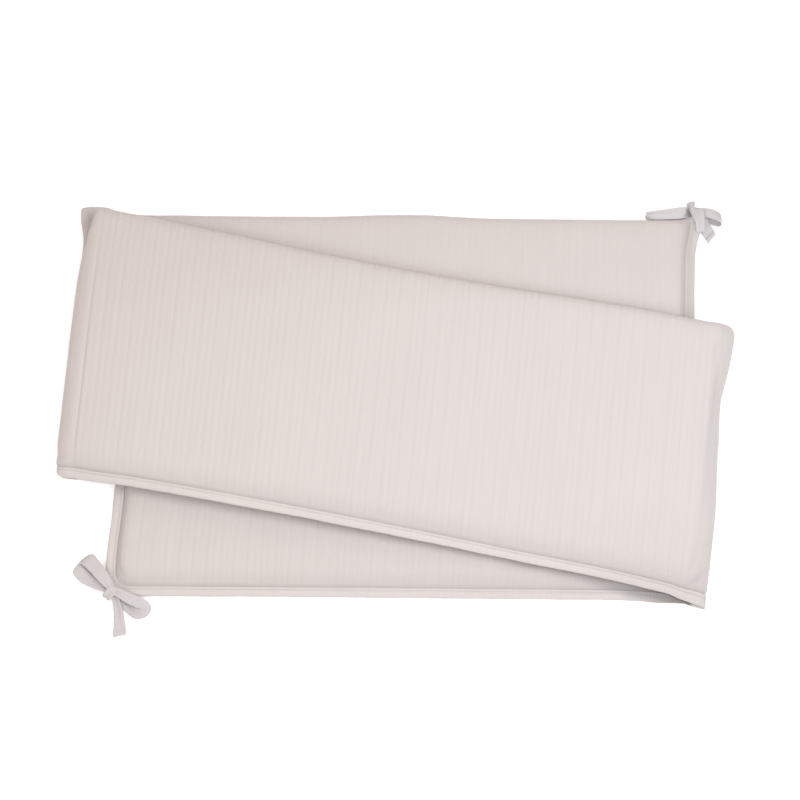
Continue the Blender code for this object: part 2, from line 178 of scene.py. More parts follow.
# Painted light and shade of the cloth inside the sewn edge: lighter on the flange, darker where shade falls
# at the stitches and at the filling's edge. Distance from the edge, brightness there.
PAINTED_SEAM_SHADES = ((0.0, 0.96), (0.0008, 1.03), (0.0064, 1.03), (0.0070, 0.84), (0.0076, 1.02),
               (0.0091, 1.02), (0.0099, 0.66), (0.0105, 0.90), (0.0130, 0.96), (0.0250, 1.0))
# How strongly this painted light and shade shows at the end of the upper panel.
UPPER_SEAM = 0.35
# The middle of the folded band and its ties, which stands on the origin.
PLAN_MIDDLE = Vector((0.0015, 0.0054, 0.0))

# ---- the fine grid: ribs along the band, rows across it ----
# One rib, from the middle of one groove to the next: place along it, share of the groove's depth.
RIB_SECTION = ((0.0, -1.0), (0.10, 0.0), (0.5, 0.3), (0.90, 0.0))
# Every second groove is deeper, and the ribs show less where the cloth is drawn taut.
GROOVE_DEPTHS = (1.40, 0.75)
PANEL_RELIEF = {"upper": 0.5, "top": 1.0, "lower": 1.0}
END_INSETS = tuple(inset for inset, _thickness in FLANGE_PROFILE) + (0.0106,)
# The rows' distances from the hem, with the last ones counted from the top edge.
ROWS = END_INSETS + (0.0118, 0.0138, 0.0165, 0.0205, 0.0255, 0.0320, 0.0420, 0.0570, 0.0740,
                     0.0910, 0.1080, 0.1250, 0.1420, 0.1590, 0.1760, 0.1930, 0.2090)
ROWS += tuple(BAND_WIDTH - inset for inset in (0.0480, 0.0370, 0.0280, 0.0205, 0.0145, 0.0098, 0.0060,
                                               0.0032, 0.0012, 0.0))

# ---- the fine shape of the cloth's skin ----
# The gathers beside the stitching fade out over this distance, and the ribs fade in.
GATHERED_OVER = 0.010
# How unevenly the ribs show, and how fast that varies.
RIB_WEAR = 0.9
RIB_WEAR_PACE = Vector((160.0, 22.0, 20.0))
# Large bumps, small bumps and gathers: how fast they vary, where their noise starts.
BUMPS = ((11.0, Vector()), (31.0, Vector((7.0, 3.0, 1.0))), (75.0, Vector((1.0, 9.0, 4.0))))
SMALL_BUMPS = 0.6
# Creases need a skin that faces up this much, on the top panel above this share of the height.
FACES_UP = 0.15
UPPER_SHARE = 0.45

# ---- the cloth simulation: a little air in the cover, its sewn edge held ----
# The simulated copy has a column every few ribs.
AIR_RIBS = 4
AIR_FRAMES = 8
AIR_SETTINGS = {
    "quality": 4, "mass": 0.15, "tension_stiffness": 30.0, "compression_stiffness": 30.0,
    "use_pressure": True, "uniform_pressure_force": 0.3, "vertex_group_mass": "sewn",
}
# Held this far inside the edge of the filling, and never moved further than the limit.
AIR_HELD = 0.0008
AIR_LIMIT = 0.0010

# ---- the ties ----
TAPE_WIDTH = 0.0135
TAPE_THICK = 0.0013
# The turned hem of a free end: its length, its thickness in tapes, and the width of its sewn line.
TAPE_HEM = 0.0050
HEMMED_TAPE = 1.7
TAPE_HEM_LINE = 0.0016
# Points across the tape, and the pleats that it gathers into where it is drawn narrow.
TAPE_PLACES = (0.0, 0.04, 0.13, 0.25, 0.37, 0.50, 0.63, 0.75, 0.87, 0.96, 1.0)
GATHERS = 1.5
GATHER_HEIGHT = 0.0021
KNOT_SIZE = (0.0125, 0.0105, 0.0080)
# Stations of each strip: x, y from the knot and z over the table in mm, turn of the tape's width seen
# from above and its lean in degrees, its width in mm.
LEFT_STRIPS = {
    "upper_loop": (
        (0.5, 0.5, 14.2, 46, 0, 7), (-5, 8, 15.6, 46, 0, 10.5), (-12.3, 17, 14.8, 46, 0, 13.5),
        (-19.3, 25.2, 12, 45, 0, 14), (-24.8, 30.8, 10, 42, 0, 14.5), (-30.2, 29.6, 6.6, 44, 0, 14),
        (-36.6, 23.2, 5.6, 54, -14, 13), (-30.9, 16.1, 6.2, 61, -8, 14.5), (-21.2, 9.1, 7.4, 62, -14, 12.8),
        (-10, 3.4, 8.8, 60, -4, 9.5), (0.5, -0.5, 10.4, 56, 0, 7),
    ),
    "lower_loop": (
        (-0.5, 0.5, 14, 72, 0, 7), (8, -4, 14, 72, 0, 9), (17, -8.6, 12.5, 66, 0, 10.5),
        (26.2, -12.6, 9.5, 58, -4, 11.5), (33.2, -17.4, 7.5, 10, -24, 12),
        (29.8, -22.6, 5.6, -50, -32, 11.5), (22.9, -23.2, 4.8, -100, -34, 11.5),
        (16.8, -18.4, 4.8, -128, -36, 11.5), (10.9, -12.4, 5.8, -136, -34, 11),
        (4.9, -6.6, 8, -138, -24, 9), (-0.5, 0, 10.2, -140, 0, 7),
    ),
    "tail": (
        (0, 0, 12, 0, 0, 7), (3.2, -8.5, 9.5, 2, 0, 7), (5.4, -18, 5, 4, 0, 8.5),
        (6.3, -28, 2.2, 5, 0, 10.5), (6.8, -37, 1.2, 8, 0, 12.5), (6.6, -45.5, 1.1, 12, 0, 14),
    ),
    "wrap": (
        (3, 4, 12.6, -37, 0, 8), (-1, -2, 15, -37, 0, 9.5), (-5.2, -6.6, 13, -37, 0, 9),
        (-6.1, -7.7, 9.8, -37, 0, 6.5), (-3.6, -4.8, 7.4, -37, 0, 6),
    ),
}
RIGHT_STRIPS = {
    "left_loop": (
        (0.5, 0.2, 9.8, 84, 0, 6.5), (-5.5, -0.2, 9.2, 84, 14, 8.5), (-12, -0.8, 13, 85, 10, 11),
        (-20, -2, 15.4, 86, 6, 11.8), (-29.5, -3, 15.8, 88, 4, 10.6), (-40.5, -3.8, 15.2, 90, 4, 9.2),
        (-47, -3.9, 13.6, 92, 6, 8.2), (-51, -3.9, 10, 94, 12, 7.6), (-51, -4.2, 6.6, 94, 20, 8),
        (-47, -5.4, 4.2, 92, 24, 10), (-40.5, -5.6, 4.4, 90, 26, 11), (-29.5, -4.2, 4.4, 88, 26, 10.5),
        (-17.5, -2, 4.8, 86, 24, 9.5), (-7, -0.2, 6.4, 84, 16, 8), (0.5, 0, 7.8, 84, 0, 6.5),
    ),
    "right_loop": (
        (-0.5, 0, 10.6, -88, 0, 6.5), (6.5, -0.3, 11.4, -86, 8, 9), (14.5, -2, 12, -80, 16, 12),
        (21.6, -4.6, 10.5, -82, 22, 12.5), (24.2, -6.8, 7, -88, 26, 12.5), (21.2, -8.8, 4, -84, 22, 12),
        (13.5, -6.2, 3.2, -80, 12, 11), (6.5, -2.5, 5.4, -84, 6, 9), (-0.5, 0, 7.4, -88, 0, 6.5),
    ),
    "tail": (
        (0.5, 0, 9, 40, 0, 7), (5.2, -8, 7, 40, 0, 10), (8.8, -15.2, 4, 42, 0, 12.5),
        (12.2, -20.4, 2, 46, 0, 12.5), (15.4, -26, 1.3, 48, 0, 12.5),
    ),
    "standing_end": (
        (-1.6, -10.5, 15.8, 30, 24, 3), (-3.2, -7, 16.8, 28, 24, 4), (-5, -1.8, 17, 24, 30, 5),
        (-6.4, 3.6, 15.4, 18, 40, 7), (-6.9, 7.4, 12.6, 12, 42, 9.5), (-6.6, 10.6, 10, 8, 40, 10),
    ),
    "sewn_end": (
        (0.8, 3.6, 13.8, 0, 0, 8), (1.3, -1, 15.6, 0, 0, 9.5), (1.7, -7, 16.2, 2, 0, 9.5),
        (2, -14.5, 16.4, 4, 0, 9), (2.4, -21.6, 16.2, 4, 0, 8.5),
    ),
}

# Where the tape lies in its own shade: from x, y to x, y, half width and top height over the table, in
# mm, and how dark it is, in darknesses of the hem's line.
LEFT_SHADES = ((-29.5, 25, -7.5, 7, 3.4, 9.4, 2.4), (13, -13, 22, -17.5, 3.4, 10, 1))
RIGHT_SHADES = ((0, 0, -9.5, -0.6, 9, 14, 2.2), (13, -9.5, 22, -12, 3, 9, 1))
BOWS = {
    # name: (solid that it replaces, where its knot is, its strips, its shades)
    "lower_left_bow": ("tie_lower_left", (-0.2815, -0.1690, 0.0121), LEFT_STRIPS, LEFT_SHADES),
    "upper_right_bow": ("tie_upper_right", (0.3065, 0.2142, 0.0100), RIGHT_STRIPS, RIGHT_SHADES),
}

# ---- the materials ----
KNIT_WALE = 0.00115
KNIT_COURSE = 0.0009
CHEVRON = 1.2
COURSE_RELIEF = 0.45
FUZZ_RELIEF = 0.6
TWILL_PITCH = 0.0010
WARP_PITCH = 0.0007
WARP_RELIEF = 0.6
# Painted shade: how much darker the bottom of a groove is, and a line of the tape (its hem's sewn line, and
# the painted shade where the tape lies in its own shade).
GROOVE_SHADE = 0.025
TAPE_LINE_SHADE = 0.25

# ---- the view ----
VIEW_ELEVATION = 82.0
VIEW_DISTANCE = 3.0
VIEW_LENS_MM = 135.0
VIEW_CENTRE = (0.0035, 0.0146, 0.025)
SKY_COLOUR = (1.0, 0.895, 0.855, 1.0)
# Brightness of the sky at the horizon, and how much brighter it is straight up.
SKY_HORIZON = 0.40
SKY_RISE = 0.90
FLOOR_HALF_SIZE = 6.0
LAMP_SIZE = 0.6
LAMPS = {
    # name: (place, what it points at, share of the power, colour)
    "right_lamp": ((0.45, -0.10, 1.15), (0.45, -0.10, 0.0), 0.360, (0.86, 1.12, 1.34)),
    "left_lamp": ((-0.45, -0.60, 1.30), (-0.18, 0.0, 0.0), 0.270, (0.93, 1.12, 1.24)),
    "top_lamp": ((0.10, 0.0, 1.60), (0.10, 0.0, 0.0), 0.370, (1.18, 1.10, 0.98)),
}


# ---- what a user can change ----
class BandSettings(bpy.types.PropertyGroup):
    rib_spacing: bpy.props.FloatProperty(
        name="Rib spacing", description="From one groove of the ribbed cloth to the next",
        default=0.0069, min=0.004, max=0.02, precision=4, unit='LENGTH')
    groove_depth: bpy.props.FloatProperty(
        name="Groove depth", description="Depth of the grooves between the ribs",
        default=0.00019, min=0.0, max=0.002, precision=5, unit='LENGTH')
    softness: bpy.props.FloatProperty(
        name="Softness", description="Height of the soft bumps and hollows of the filling",
        default=0.0005, min=0.0, max=0.003, precision=5, unit='LENGTH')
    puckering: bpy.props.FloatProperty(
        name="Puckering", description="Height of the small gathers beside the topstitching",
        default=0.00035, min=0.0, max=0.002, precision=5, unit='LENGTH')
    cloth_colour: bpy.props.FloatVectorProperty(
        name="Cloth colour", description="Colour of the ribbed cotton",
        default=(0.518, 0.464, 0.438), size=3, min=0.0, max=1.0, subtype='COLOR')


class StitchSettings(bpy.types.PropertyGroup):
    stitch_length: bpy.props.FloatProperty(
        name="Stitch length", description="From one stitch of the topstitching to the next",
        default=0.0033, min=0.002, max=0.01, precision=4, unit='LENGTH')
    thread_thick: bpy.props.FloatProperty(
        name="Thread thickness", description="Thickness of the sewing thread",
        default=0.0005, min=0.0002, max=0.002, precision=5, unit='LENGTH')
    thread_colour: bpy.props.FloatVectorProperty(
        name="Thread colour", description="Colour of the sewing thread",
        default=(0.555, 0.510, 0.480), size=3, min=0.0, max=1.0, subtype='COLOR')


class TapeSettings(bpy.types.PropertyGroup):
    tape_colour: bpy.props.FloatVectorProperty(
        name="Tape colour", description="Colour of the tie tape",
        default=(0.510, 0.471, 0.461), size=3, min=0.0, max=1.0, subtype='COLOR')


class StageSettings(bpy.types.PropertyGroup):
    floor_colour: bpy.props.FloatVectorProperty(
        name="Floor colour", description="Colour of the plain floor",
        default=(0.93, 0.93, 0.93), size=3, min=0.0, max=1.0, subtype='COLOR')
    floor_glow: bpy.props.FloatProperty(
        name="Floor glow", description="Light that comes through the floor, as on a light table",
        default=0.24, min=0.0, max=5.0)
    sky_light: bpy.props.FloatProperty(
        name="Sky light", description="Brightness of the light from all round",
        default=0.80, min=0.0, max=5.0)
    lamp_power: bpy.props.FloatProperty(
        name="Lamp power", description="Power of all the large lamps together",
        default=16.2, min=0.0, max=1000.0, subtype='POWER')


# ---- small helpers ----
def ease(x):
    """0 to 1 along a half wave, flat at both ends."""
    x = min(max(x, 0.0), 1.0)
    return 0.5 - 0.5 * math.cos(math.pi * x)


def bump(distance, half_length):
    """1 at the middle, easing to 0 half a length away."""
    return 1.0 - ease(abs(distance) / half_length)


def as_mesh(name, shape):
    """The mesh of a bmesh, which is freed."""
    mesh = bpy.data.meshes.new(name)
    shape.to_mesh(mesh)
    shape.free()
    return mesh


def add_object(name, data):
    made = bpy.data.objects.new(name, data)
    bpy.context.scene.collection.objects.link(made)
    return made


def add_piece(name, mesh, *materials):
    piece = add_object(name, mesh)
    for material in materials:
        mesh.materials.append(material)
    mesh.shade_smooth()
    return piece


def apply_modifiers(piece):
    """The piece's mesh becomes what its modifiers make of it."""
    depsgraph = bpy.context.evaluated_depsgraph_get()
    made = piece.evaluated_get(depsgraph)
    mesh = bpy.data.meshes.new_from_object(made, preserve_all_data_layers=True, depsgraph=depsgraph)
    piece.modifiers.clear()
    piece.data = mesh


# ---- the folded sheet ----
def cross_point(line, across):
    """The plan point of a fold's or end's line, across = 0 at the hem and 1 at the top edge."""
    hem_x, hem_y, top_x, top_y = CROSS_LINES[line][:4]
    return Vector((hem_x, hem_y)).lerp(Vector((top_x, top_y)), across)


def support(point, start, end, side=1.0):
    """1 over the layer below, easing to 0 a drop length past its edge from start to end."""
    start, end = cross_point(*start), cross_point(*end)
    way = (end - start).normalized()
    past = way.x * (point.y - start.y) - way.y * (point.x - start.x)
    return 1.0 - ease(side * past / DROP_LENGTH)


def underside(panel, point):
    """Height of a panel's underside: it lies on the panels that are below it there."""
    if panel == "lower":
        return 0.0
    height = STEP * support(point, ("end_a", 0), ("end_a", 1))
    height *= support(point, ("right_fold", 1), ("end_a", 1), side=-1.0)
    if panel == "top":
        height += (STEP * support(point, ("end_b", 1), ("end_b", 0))
                   * support(point, ("end_b", 0), ("left_fold", 0)))
    return height


def swell(distance, rise):
    """Share of the full thickness at this distance inside a closed edge."""
    reach, flatness, steepness = rise
    if distance >= reach:
        return 1.0
    return (1.0 - (1.0 - max(distance, 0.0) / reach) ** flatness) ** steepness


def flange_thickness(inset):
    for (near, near_thick), (far, far_thick) in zip(FLANGE_PROFILE, FLANGE_PROFILE[1:]):
        if inset <= far:
            return near_thick + (far_thick - near_thick) * (inset - near) / (far - near)
    return SEAM_THICK


def filling(from_hem, from_top, from_end):
    """Thickness of the band at these distances inside its edges."""
    inset = min(from_hem, from_end)
    if inset < FLANGE_WIDTH:
        return flange_thickness(inset)
    share = swell(from_hem - FLANGE_WIDTH, HEM_SWELL) * swell(from_end - FLANGE_WIDTH, END_SWELL)
    share *= swell(from_top, TOP_SWELL)
    thinnest = SEAM_THICK if from_top > TOP_SWELL[0] else TOP_EDGE_THICK
    return max(thinnest, PAD_THICK * share)


def round_corner(from_end, from_edge, radius):
    """Moves a point near a square corner onto the round corner at the same distance inside."""
    inside = min(from_end, from_edge)
    inner_radius = radius - inside
    along = max(from_end, from_edge) - inside
    if inner_radius <= 0.0 or along >= inner_radius:
        return from_end, from_edge
    angle = math.radians(45.0) * (1.0 - along / inner_radius)
    near = radius - inner_radius * math.cos(angle)
    far = radius - inner_radius * math.sin(angle)
    return (near, far) if from_end <= from_edge else (far, near)


def panel_point(panel, share, from_hem):
    """A plan point of a panel: share is 0 at its first line and 1 at its last."""
    across = from_hem / BAND_WIDTH
    first, last = PANELS[panel]
    point = cross_point(first, across).lerp(cross_point(last, across), share)
    for pulled, along, aside, half_along, half_aside, by_x, by_y in PULLS:
        if pulled == panel:
            pull = bump(share - along, half_along) * bump(across - aside, half_aside)
            point += pull * Vector((by_x, by_y))
    return point


def panel_length(panel):
    first, last = PANELS[panel]
    return (cross_point(last, 0.5) - cross_point(first, 0.5)).length


def from_free_end(panel, share):
    """Distance along the band to the panel's own free end, if it has one."""
    if panel == "upper":
        return share * panel_length(panel)
    if panel == "lower":
        return (1.0 - share) * panel_length(panel)
    return BAND_WIDTH


def droop(panel, share, from_hem):
    """How far a panel hangs down near its hem."""
    return sum(depth * bump(share - along, half_along) * max(0.0, 1.0 - from_hem / width)
               for drooping, along, half_along, width, depth in HEM_DROOPS if drooping == panel)


def sheet_on_panel(panel, share, from_hem):
    """The sheet's point on a panel, and its thickness there."""
    from_top = BAND_WIDTH - from_hem
    from_end = from_free_end(panel, share)
    thickness = filling(from_hem, from_top, from_end)
    if from_end < HEM_CORNER:
        inset, from_hem = round_corner(from_end, from_hem, HEM_CORNER)
        if from_top < TOP_CORNER:
            inset, edge = round_corner(from_end, from_top, TOP_CORNER)
            from_hem = BAND_WIDTH - edge
        moved = (inset - from_end) / panel_length(panel)
        share += moved if panel == "upper" else -moved
    plan = panel_point(panel, share, from_hem)
    height = underside(panel, plan) + max(0.5 * thickness, SEAM_HEIGHT) - droop(panel, share, from_hem)
    return Vector((plan.x, plan.y, height)), thickness


def sheet_in_fold(fold, angle, from_hem):
    """The sheet's point in a fold; the angle runs from 90 degrees on the upper side to -90."""
    across = from_hem / BAND_WIDTH
    high_share, low_panel, low_share, side = FOLDS[fold]
    high, thickness = sheet_on_panel("top", high_share, from_hem)
    low, _thickness = sheet_on_panel(low_panel, low_share, from_hem)
    way = (cross_point(fold, 1) - cross_point(fold, 0)).normalized()
    outward = side * Vector((-way.y, way.x))
    reach_hem, reach_top = CROSS_LINES[fold][4:]
    reach = reach_hem + (reach_top - reach_hem) * across
    for middle, half_length, out in FOLD_BULGES[fold]:
        reach += out * bump(across - middle, half_length)
    lift = 0.5 + 0.5 * math.sin(angle)
    plan = low.xy.lerp(high.xy, lift) + outward * reach * math.cos(angle)
    furthest, width = FOLD_DROOPS[fold]
    plan -= way * furthest * bump(across, width) * math.cos(angle)
    height = low.z + (high.z - low.z) * lift
    tightest_bend = (0.5 * (high.z - low.z)) ** 2 / reach
    pressed = max(0.0, thickness - FOLD_FILL * tightest_bend) * math.cos(angle) ** 2
    return Vector((plan.x, plan.y, height)), thickness - pressed


def ribbed_places(length, spacing):
    """Places from 0 to 1 along a ribbed length, each with its share of the groove's depth."""
    ribs = max(1, round(length / spacing))
    places = [((rib + place) / ribs, relief * (GROOVE_DEPTHS[rib % 2] if relief < 0.0 else 1.0))
              for rib in range(ribs) for place, relief in RIB_SECTION]
    return places + [(1.0, RIB_SECTION[0][1])]


def panel_stations(panel, spacing):
    """Columns of points across one panel, in order along the band."""
    length = panel_length(panel)
    insets = [inset / length for inset in END_INSETS]
    start = insets[-1] if panel == "upper" else 0.0
    finish = 1.0 - insets[-1] if panel == "lower" else 1.0
    places = [(start + (finish - start) * place, relief * PANEL_RELIEF[panel])
              for place, relief in ribbed_places((finish - start) * length, spacing)]
    if panel == "upper":
        places = [(inset, 0.0) for inset in insets[:-1]] + places
    if panel == "lower":
        places += [(1.0 - inset, 0.0) for inset in reversed(insets[:-1])]
    return [([sheet_on_panel(panel, share, row) for row in ROWS], relief) for share, relief in places]


def fold_stations(fold, spacing):
    """Columns of points round one fold, between the columns where its panels end."""
    reach, side = 0.5 * sum(CROSS_LINES[fold][4:]), FOLDS[fold][-1]
    arc = math.pi * math.hypot(reach, 0.5 * STEP) / math.sqrt(2.0)
    return [([sheet_in_fold(fold, -side * math.radians(90.0 - 180.0 * place), row) for row in ROWS], relief)
            for place, relief in ribbed_places(arc, spacing)[1:-1]]


def band_stations(spacing):
    """Every column of the band from end B to end A: ([(point, thickness) across it], relief)."""
    return (panel_stations("upper", spacing) + fold_stations("left_fold", spacing)
            + panel_stations("top", spacing) + fold_stations("right_fold", spacing)
            + panel_stations("lower", spacing))


def lengths_along(stations):
    """Distance along the middle of the sheet to each of its columns."""
    points = [cells[len(cells) // 2][0] for cells, _relief in stations]
    return list(accumulate(((point - last).length for last, point in zip(points, points[1:])), initial=0.0))


def sheet_mesh(name, stations, along, across, full_thickness):
    """A grid with a column for each station, its thickness as weights and its cloth's own UV map."""
    sheet = bmesh.new()
    bmesh.ops.create_grid(sheet, x_segments=len(across) - 1, y_segments=len(stations) - 1, size=1.0)
    weights = sheet.verts.layers.deform.verify()
    relief_layer = sheet.verts.layers.float.new("relief")
    flange_layer = sheet.verts.layers.float.new("from_stitching")
    uv_layer = sheet.loops.layers.uv.new("cloth")
    places = {}
    cells = [(cell, relief, u, v)
             for (column, relief), u in zip(stations, along) for cell, v in zip(column, across)]
    for vert, ((point, thickness), relief, u, v) in zip(sheet.verts, cells):
        vert.co = point - PLAN_MIDDLE
        vert[weights][0] = thickness / full_thickness
        vert[relief_layer] = relief
        vert[flange_layer] = min(u, v, along[-1] - u) - FLANGE_WIDTH
        places[vert] = (u, v)
    for face in sheet.faces:
        for loop in face.loops:
            loop[uv_layer].uv = places[loop.vert]
    return as_mesh(name, sheet)


def give_thickness(piece, thickness):
    """Makes a sheet a closed shell, as thick as its weights say."""
    shell = piece.modifiers.new("Thickness", 'SOLIDIFY')
    shell.thickness = thickness
    shell.offset = 0.0
    piece.vertex_groups.new(name="thickness")
    shell.vertex_group = "thickness"


def simulated_moves(stations, along):
    """Moves of each vertex of a coarse copy of the band, simulated as cloth."""
    cover = add_piece("air_band", sheet_mesh("air_band", stations, along, ROWS, PAD_THICK))
    scene = bpy.context.scene
    give_thickness(cover, PAD_THICK)
    apply_modifiers(cover)
    laid = [vert.co.copy() for vert in cover.data.vertices]
    inside = cover.data.attributes["from_stitching"].data
    sewn = cover.vertex_groups.new(name="sewn")
    sewn.add([index for index, place in enumerate(inside) if place.value < AIR_HELD], 1.0, 'REPLACE')
    air = cover.modifiers.new("Air", 'CLOTH')
    for name, value in AIR_SETTINGS.items():
        setattr(air.settings, name, value)
    air.settings.effector_weights.gravity = 0.0
    air.point_cache.frame_end = AIR_FRAMES
    for frame in range(1, AIR_FRAMES + 1):
        scene.frame_set(frame)
    apply_modifiers(cover)
    moves = [vert.co - start for vert, start in zip(cover.data.vertices, laid)]
    bpy.data.objects.remove(cover)
    scene.frame_set(1)
    return moves


def fill_with_air(mesh, along, settings):
    """Moves the band's skin as its simulated copy moved."""
    stations = band_stations(AIR_RIBS * settings.rib_spacing)
    coarse_along = lengths_along(stations)
    moves = simulated_moves(stations, coarse_along)
    row_count, stretch = len(ROWS), coarse_along[-1] / along[-1]
    fine_face, coarse_face = len(along) * row_count, len(coarse_along) * row_count
    spots = []
    for place in along:
        after = min(max(bisect_left(coarse_along, place * stretch), 1), len(coarse_along) - 1)
        gap = coarse_along[after] - coarse_along[after - 1]
        spots.append((after, min((place * stretch - coarse_along[after - 1]) / gap, 1.0)))
    for index, vert in enumerate(mesh.vertices):
        face, cell = divmod(index, fine_face)
        column, row = divmod(cell, row_count)
        after, share = spots[column]
        first = face * coarse_face + (after - 1) * row_count + row
        move = moves[first].lerp(moves[first + row_count], share)
        if move.length > 0.0:
            vert.co += move.normalized() * AIR_LIMIT * math.tanh(move.length / AIR_LIMIT)


def nearest(place, start, end):
    """Share of the way from start to end nearest to a place, and how far off it is."""
    way = end - start
    along = min(max((place - start).dot(way) / way.length_squared, 0.0), 1.0)
    return along, (place - start - way * along).length


def crease_at(panel, point):
    """How far the creases draw a panel's skin in at a point, and how dark their painted shade is there."""
    depth = dark = 0.0
    for crease_shade, x0, y0, x1, y1, half_width, full_depth, first_dark, last_dark in CREASES_AND_PAINTED_SHADE:
        if crease_shade == panel:
            along, aside = nearest((point + PLAN_MIDDLE).xy, Vector((x0, y0)), Vector((x1, y1)))
            share = bump(aside, half_width)
            depth = max(depth, full_depth * share)
            dark = max(dark, share * (first_dark + (last_dark - first_dark) * along))
    return depth, dark


def press_in_detail(mesh, along, settings):
    """Moves the band's skin along its normals: ribs, gathers, soft hollows, creases."""
    # The painted shade of the creases, the hollows and the shadow under the top panel's hem, kept for the
    # material.
    crease_shade = mesh.attributes.new("crease_shade", 'FLOAT', 'POINT').data
    relief = mesh.attributes["relief"].data
    from_stitching = mesh.attributes["from_stitching"].data
    first_top = sum(place < panel_length("upper") for place in along)
    first_lower = sum(place < along[-1] - panel_length("lower") for place in along)
    highest = max(vert.co.z for vert in mesh.vertices)
    moves = []
    for vert, rib, inside, crease in zip(mesh.vertices, relief, from_stitching, crease_shade):
        large, small, gather = (noise.noise(vert.co * pace + start) for pace, start in BUMPS)
        wear = 1.0 + RIB_WEAR * noise.noise(vert.co * RIB_WEAR_PACE)
        beside = math.exp(-max(inside.value, 0.0) / GATHERED_OVER)
        move = (rib.value * settings.groove_depth * wear + settings.softness * large) * (1.0 - beside)
        move += SMALL_BUMPS * settings.softness * small + settings.puckering * gather * beside
        column = vert.index // len(ROWS) % len(along)
        panel = "upper" if column < first_top else "lower" if column >= first_lower else "top"
        if vert.normal.z > FACES_UP and (panel != "top" or vert.co.z > UPPER_SHARE * highest):
            depth, crease.value = crease_at(panel, vert.co)
            move -= depth
        moves.append(vert.normal * move)
    for vert, move in zip(mesh.vertices, moves):
        vert.co += move
        vert.co.z = max(vert.co.z, 0.0)


# ---- materials ----
def new_material(name, colour, inputs):
    """A material of one colour, with the other inputs of its shader by name."""
    material = bpy.data.materials.new(name)
    material.use_nodes = True
    shader = material.node_tree.nodes["Principled BSDF"]
    for socket, value in {"Base Color": (*colour, 1.0), **inputs}.items():
        shader.inputs[socket].default_value = value
    return material, material.node_tree, shader


def add_node(tree, kind, inputs=(), **settings):
    """A node with its settings, and its inputs as (socket name or number, value or socket) pairs."""
    node = tree.nodes.new("ShaderNode" + kind)
    for name, value in settings.items():
        setattr(node, name, value)
    for name, value in inputs:
        if isinstance(value, bpy.types.NodeSocket):
            tree.links.new(value, node.inputs[name])
        else:
            node.inputs[name].default_value = value
    return node


def math_node(tree, operation, first, second=0.0, third=0.0):
    inputs = ((0, first), (1, second), (2, third))
    return add_node(tree, "Math", inputs, operation=operation).outputs[0]


def product(tree, first, *others):
    for other in others:
        first = math_node(tree, 'MULTIPLY', first, other)
    return first


def scaled(tree, value, factor, plus):
    return math_node(tree, 'MULTIPLY_ADD', value, factor, plus)


def own_attribute(tree, name):
    """A value that the piece's own mesh holds."""
    return add_node(tree, "Attribute", attribute_name=name).outputs["Fac"]


def cloth_place(tree):
    """The place on the cloth as it lies flat, and its parts along it and across it."""
    place = add_node(tree, "UVMap", uv_map="cloth").outputs[0]
    axes = add_node(tree, "SeparateXYZ", ((0, place),))
    return place, axes.outputs[0], axes.outputs[1]


def noise_at(tree, place, paces, detail):
    """Noise from 0 to 1 that varies as fast as paces say along each axis."""
    stretched = add_node(tree, "Mapping", (("Vector", place), ("Scale", paces))).outputs[0]
    inputs = (("Vector", stretched), ("Scale", 1.0), ("Detail", detail))
    return add_node(tree, "TexNoise", inputs).outputs["Fac"]


def mottling(tree, place, paces, detail, spread):
    """A shade that varies about 1, within this spread."""
    return scaled(tree, noise_at(tree, place, paces, detail), spread, 1.0 - 0.5 * spread)


def waves(tree, place, pitch):
    return math_node(tree, 'SINE', product(tree, place, math.tau / pitch))


def bump_up(tree, shader, height, strength, distance):
    inputs = (("Strength", strength), ("Distance", distance), ("Height", height))
    tree.links.new(add_node(tree, "Bump", inputs).outputs[0], shader.inputs["Normal"])


def shade_colour(tree, shader, shade):
    """Multiplies the shader's own colour by a shade."""
    base = shader.inputs["Base Color"]
    tint = add_node(tree, "CombineColor", ((0, shade), (1, shade), (2, shade)))
    shaded = add_node(tree, "Mix", ((0, 1.0), (6, base.default_value), (7, tint.outputs[0])),
                      data_type='RGBA', blend_type='MULTIPLY')
    tree.links.new(shaded.outputs[2], base)


def knitted_height(tree, u, v):
    """Height of a fine knit: rows of small chevrons, one wale wide and one course high."""
    zigzag = math_node(tree, 'PINGPONG', u, 0.5 * KNIT_WALE)
    stitch = waves(tree, scaled(tree, zigzag, CHEVRON, v), KNIT_COURSE)
    return scaled(tree, stitch, COURSE_RELIEF, product(tree, zigzag, 2.0 / KNIT_WALE))


def painted_seam_shade(tree, u):
    """Painted light and shade along the sewn edge: fine dark lines, fainter at the end of the upper panel.
    """
    reach = PAINTED_SEAM_SHADES[-1][0]
    share = scaled(tree, own_attribute(tree, "from_stitching"), 1.0 / reach, FLANGE_WIDTH / reach)
    lines = add_node(tree, "ValToRGB", ((0, share),))
    stops = lines.color_ramp.elements
    stops[-1].position = 1.0
    for distance, _grey in PAINTED_SEAM_SHADES[1:-1]:
        stops.new(distance / reach)
    for stop, (_distance, grey) in zip(stops, PAINTED_SEAM_SHADES):
        stop.color = (grey, grey, grey, 1.0)
    is_upper = math_node(tree, 'LESS_THAN', u, panel_length("upper"))
    strength = scaled(tree, is_upper, UPPER_SEAM - 1.0, 1.0)
    return scaled(tree, math_node(tree, 'SUBTRACT', lines.outputs[0], 1.0), strength, 1.0)


